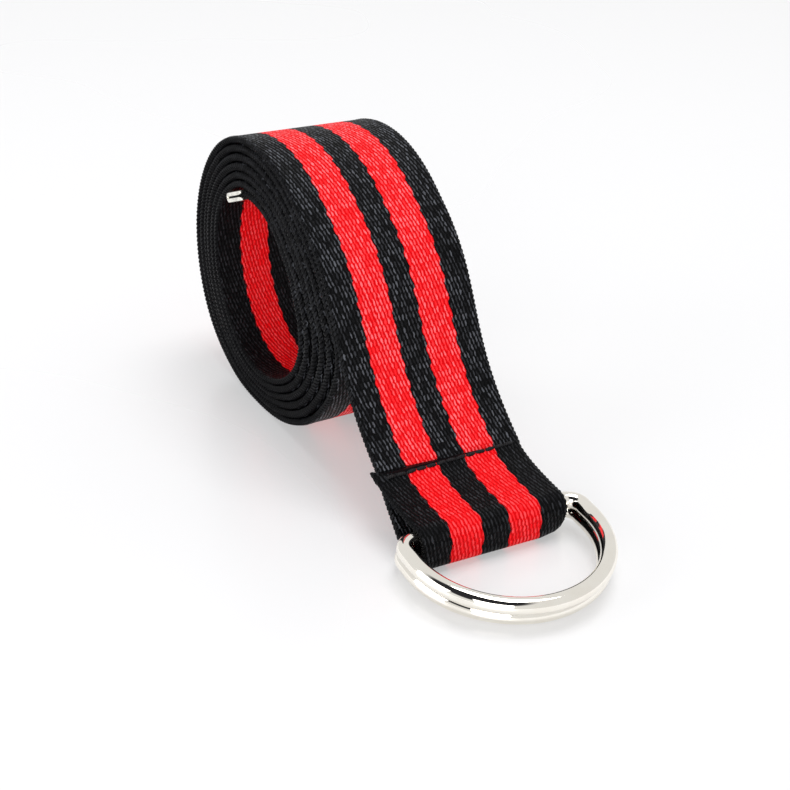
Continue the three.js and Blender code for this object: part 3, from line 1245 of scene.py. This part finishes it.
@dataclass
class CrimpedTip:
    """Folded plate clipped over the strap's inner end, pressed shut along its sides."""

    plan: BeltPlan
    rim: float = 0.55
    slit: float = 0.55
    notch: float = 1.7
    side_room: float = 0.15
    side_rounds: tuple = ((0.0, 0.45), (0.1, 0.1575), (0.3, 0.05))
    rim_edge: float = 0.02
    lip_length: float = 0.3
    lip_start: float = 0.08
    lip_draw: float = 0.2
    lip_round: float = 0.09
    flat_start: float = 1.0
    flat_steps: int = 6
    bend_steps: int = 16
    pressed_wall: float = 0.12
    bend_room: float = 0.2
    mouth_share: float = 0.75

    def profile(self, open_gap: float, shrink: float) -> np.ndarray:
        """Outline of the folded plate, seen along Y.

        Args:
            open_gap: half the space between its two leaves.
            shrink: how much its outside is rounded in.

        Returns:
            Points along the length and up, once round.
        """
        plan = self.plan
        outer = plan.half + plan.tip_clearance + plan.tip_plate - shrink
        length = plan.tip_length - shrink
        bend = length - outer
        pressed = open_gap < plan.half
        deep = length - (self.pressed_wall if pressed else plan.tip_plate + self.bend_room)
        lip = [(0.0, outer - self.lip_length - self.lip_draw * shrink),
               (self.lip_start, outer - self.lip_round), (self.lip_length, outer)]
        points = list(lip)
        points += [(x, outer) for x in np.linspace(self.flat_start, bend, self.flat_steps)]
        for s in range(1, self.bend_steps):
            angle = math.radians(90 - 180 * s / self.bend_steps)
            points.append((bend + outer * math.cos(angle), outer * math.sin(angle)))
        points += [(x, -outer) for x in np.linspace(bend, self.flat_start, self.flat_steps)]
        points += [(x, -z) for x, z in reversed(lip)]
        mouth = max(open_gap, plan.half * self.mouth_share)
        points += [(0.0, -mouth), (self.notch * 0.5, -(mouth + open_gap) / 2), (self.notch, -open_gap)]
        points += [(deep, -open_gap), (deep, open_gap)]
        points += [(self.notch, open_gap), (self.notch * 0.5, (mouth + open_gap) / 2), (0.0, mouth)]
        return np.array(points)

    def build(self, steel: bpy.types.Material) -> bpy.types.Object:
        """Makes the tip on the strap's inner end.

        Args:
            steel: the tip's material.

        Returns:
            The tip.
        """
        plan = self.plan
        inner = plan.half + plan.tip_clearance
        half = plan.webbing_width / 2 + self.side_room + self.rim
        stops = [(half - aside, self.slit / 2, shrink) for aside, shrink in self.side_rounds]
        stops += [
            (half - self.rim, self.slit / 2, 0.0), (half - self.rim - self.rim_edge, inner, 0.0),
            (half / 2, inner, 0.0),
        ]
        stops += [(-y, gap, shrink) for y, gap, shrink in reversed(stops)]
        coil = plan.coil_line()
        sweep = plan.tip_length / (2 * math.pi * np.linalg.norm(plan.coil_point(plan.coil_turns)))
        ahead = plan.coil_point(plan.coil_turns + sweep) - plan.coil_point(plan.coil_turns)
        ahead /= np.linalg.norm(ahead)
        up = np.array([-ahead[1], ahead[0]])
        rings, uvs = [], []
        for y, gap, shrink in stops:
            outline = self.profile(gap, shrink)
            flat = coil[0] + outline[:, :1] * ahead + outline[:, 1:] * up
            rings.append(np.column_stack([flat[:, 0], np.full(len(flat), y), flat[:, 1]]))
            uvs.append([[y, k / len(flat)] for k in range(len(flat) + 1)])
        mesh = Mesh()
        mesh.loft(plan.to_row(np.array(rings)), np.array(uvs), closed=False)
        made = mesh.build("crimped_tip", steel)
        made.data.set_sharp_from_angle(angle=math.radians(SHARP_ANGLE))
        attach(made, "strap")
        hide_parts("strap_tip")
        LOG.info("crimped_tip: %d faces", len(made.data.polygons))
        return made


@dataclass(frozen=True)
class SoftLight:
    """A soft square light: its name, place and side in metres, and power in watts."""

    name: str
    place: tuple[float, float, float]
    size: float
    watts: float


@dataclass
class Studio:
    """Plain white table, soft light and the camera."""

    eye_mm: tuple = (234.756, -142.572, 168.477)
    right: tuple = (0.50500724, 0.86230383, 0.03741374)
    down: tuple = (0.4343154, -0.2164188, -0.8743758)
    ahead: tuple = (-0.74588056, 0.45781547, -0.4838049)
    lens: float = 58.743
    sensor: float = 36.0
    table_size: float = 3.0
    room_light: float = 0.8
    dark_side: tuple = (0.245, -0.468, 0.849)
    dark_reach: tuple[float, float] = (41.0, 31.0)
    dark_colour: tuple = (0.03, 0.03, 0.035, 1.0)
    aim: tuple = (0.0, 0.0, 0.03)
    lights: tuple[SoftLight, ...] = (
        SoftLight("softbox", (-0.05, 0.15, 1.0), 0.55, 6.0),
        SoftLight("side_fill", (-0.15, -0.9, 0.3), 0.6, 3.0),
        SoftLight("front_fill", (0.75, -0.6, 0.35), 0.6, 4.8),
    )

    def camera(self) -> bpy.types.Object:
        """Places the camera at the photograph's angle.

        Returns:
            The camera.
        """
        data = bpy.data.cameras.new("camera")
        data.lens, data.sensor_width, data.sensor_fit = self.lens, self.sensor, "HORIZONTAL"
        data.clip_start, data.clip_end = 0.01, 20
        made = bpy.data.objects.new("camera", data)
        turn = Matrix((self.right, [-x for x in self.down], [-x for x in self.ahead])).transposed()
        made.matrix_world = Matrix.Translation(Vector(self.eye_mm) * MM) @ turn.to_4x4()
        bpy.context.scene.collection.objects.link(made)
        bpy.context.scene.camera = made
        return made

    def table(self, finish: bpy.types.Material) -> bpy.types.Object:
        """Makes the table, with its top at the belt's base.

        Args:
            finish: the table's material.

        Returns:
            The table.
        """
        half = self.table_size / 2 / MM
        mesh = Mesh()
        mesh.corners = [[-half, -half, 0], [half, -half, 0], [half, half, 0], [-half, half, 0]]
        mesh.faces = [[0, 1, 2, 3]]
        mesh.uvs = [[0, 0], [1, 0], [1, 1], [0, 1]]
        made = mesh.build("table", finish)
        return made

    def light(self, lamp: SoftLight) -> None:
        """Adds a soft light that faces the belt.

        Args:
            lamp: its name, place, size and power.
        """
        data = bpy.data.lights.new(lamp.name, "AREA")
        data.size, data.energy = lamp.size, lamp.watts
        made = bpy.data.objects.new(lamp.name, data)
        made.location = lamp.place
        facing = Vector(self.aim) - Vector(lamp.place)
        made.rotation_euler = facing.to_track_quat("-Z", "Y").to_euler()
        bpy.context.scene.collection.objects.link(made)

    def surroundings(self) -> None:
        """Makes a white room with a dark side behind the camera, which the rings mirror."""
        world = bpy.data.worlds.new("studio")
        bpy.context.scene.world = world
        g = Graph(world)
        start, end = (math.cos(math.radians(angle)) for angle in self.dark_reach)
        dark = g.step(g.towards(self.dark_side), start, end)
        g.set("Color", g.mix(dark, WHITE, self.dark_colour))
        g.shader.inputs["Strength"].default_value = self.room_light

    def build(self) -> None:
        """Makes the table, the lights, the surroundings and the camera."""
        self.camera()
        self.table(GlossyTable().material())
        for lamp in self.lights:
            self.light(lamp)
        self.surroundings()
        bpy.context.scene.view_settings.view_transform = "Standard"


def main() -> None:
    """Builds the belt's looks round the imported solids."""
    logging.basicConfig(level=logging.INFO, format="%(name)s: %(message)s")
    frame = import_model()
    LOG.info("frame: %s", sorted(frame["nodes"]))
    plan = BeltPlan()
    Studio().build()
    WovenStrap(plan).build()
    SeamStitches(plan).build(SewingThread().material())
    nickel = PolishedNickel().material()
    WireRing(plan, "lower_wire_ring", "lower_ring", plan.lower_bar).build(nickel)
    WireRing(plan, "upper_wire_ring", "upper_ring", plan.upper_bar).build(nickel)
    CrimpedTip(plan).build(FoldedSteel().material())


if __name__ == "__main__":
    main()
